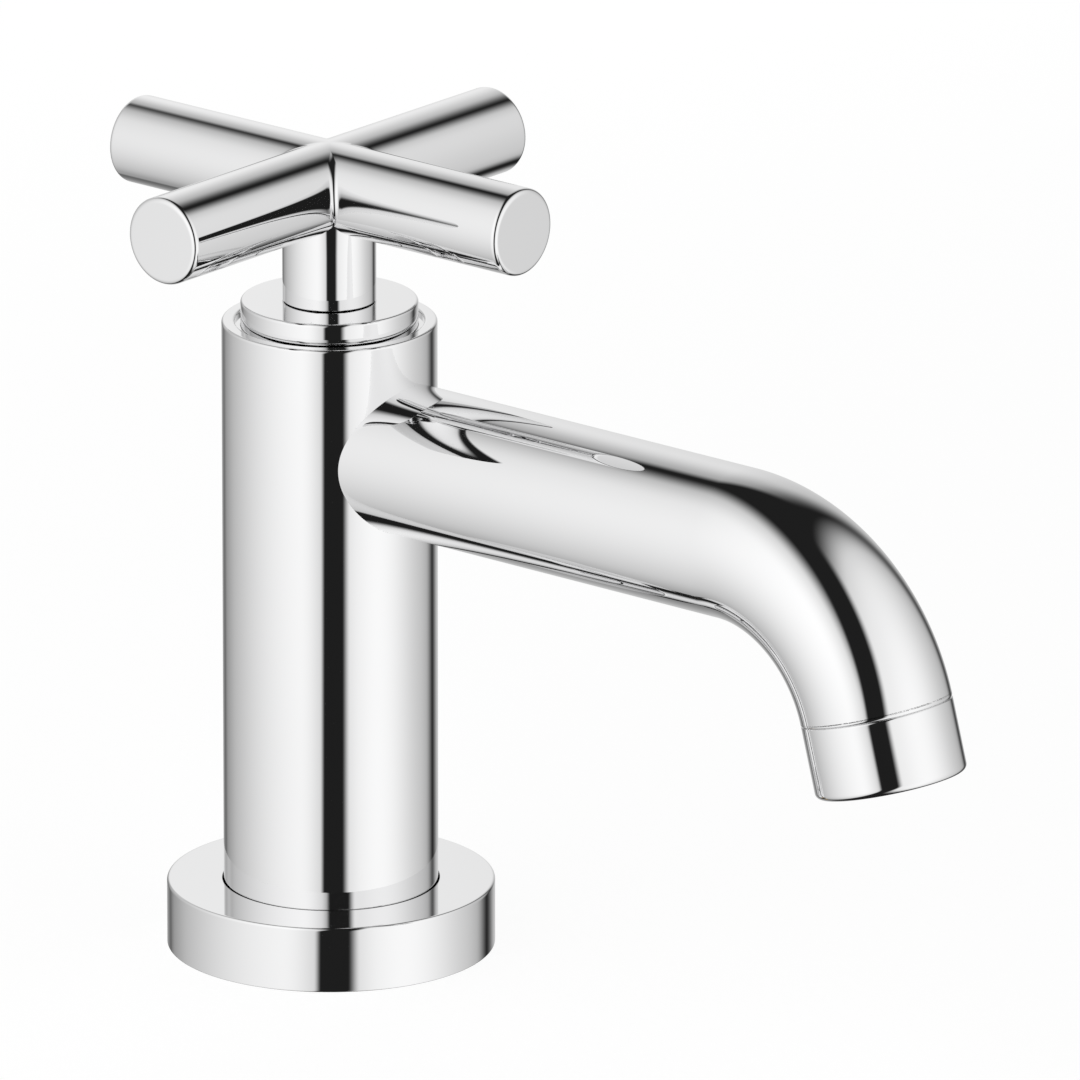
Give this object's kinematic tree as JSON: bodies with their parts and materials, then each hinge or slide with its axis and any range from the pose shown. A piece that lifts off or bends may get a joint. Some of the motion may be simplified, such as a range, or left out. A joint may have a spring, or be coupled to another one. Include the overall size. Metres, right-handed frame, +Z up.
{
  "type": "cross handle tap",
  "caption": "Deck-mounted single-supply tap: round column on a base rosette, bent tubular spout with aerator, quarter-turn cross handle, threaded shank and backnut.",
  "frame": {"origin": "centre of the deck face under the tap, on the axis of the column", "axes": "+Z up along the column and the handle's axis, -Y along the spout, +X to the right for a user who faces the spout's outlet from behind the column"},
  "size_m": [0.08, 0.166, 0.187],
  "materials": {
    "chrome": "polished plating on brass",
    "brass": "turned",
    "steel": "satin",
    "rubber": "matte",
    "ceramic": "lapped",
    "plastic": "moulded"
  },
  "bodies": {
    "tap_body": {"base_rosette": "chrome", "rosette_o_ring": "rubber", "deck_gasket": "rubber", "threaded_shank": "brass", "shank_o_ring": "rubber", "rubber_washer": "rubber", "fixing_washer": "steel", "backnut": "brass", "column_body": "chrome", "spout_tube": "chrome", "aerator_sleeve": "chrome", "aerator_seal": "rubber", "aerator_cage": "plastic", "aerator_jet_plate": "plastic", "aerator_screen": "steel", "headpart_body": "brass", "headpart_o_ring": "rubber", "seat_seal": "rubber", "fixed_ceramic_disc": "ceramic", "slide_washer": "plastic", "cover_collar": "chrome"},
    "handle": {"cross_handle": "chrome", "handle_adapter": "plastic", "handle_set_screw": "steel", "spindle": "brass", "spindle_o_rings": "rubber", "spindle_circlip": "steel", "moving_ceramic_disc": "ceramic"}
  },
  "joints": [
    {"name": "handle_turn", "type": "hinge", "parent": "tap_body", "child": "handle", "pos_m": [0, 0, 0.125], "axis": [0, 0, 1], "range_deg": [0, 90]}
  ]
}
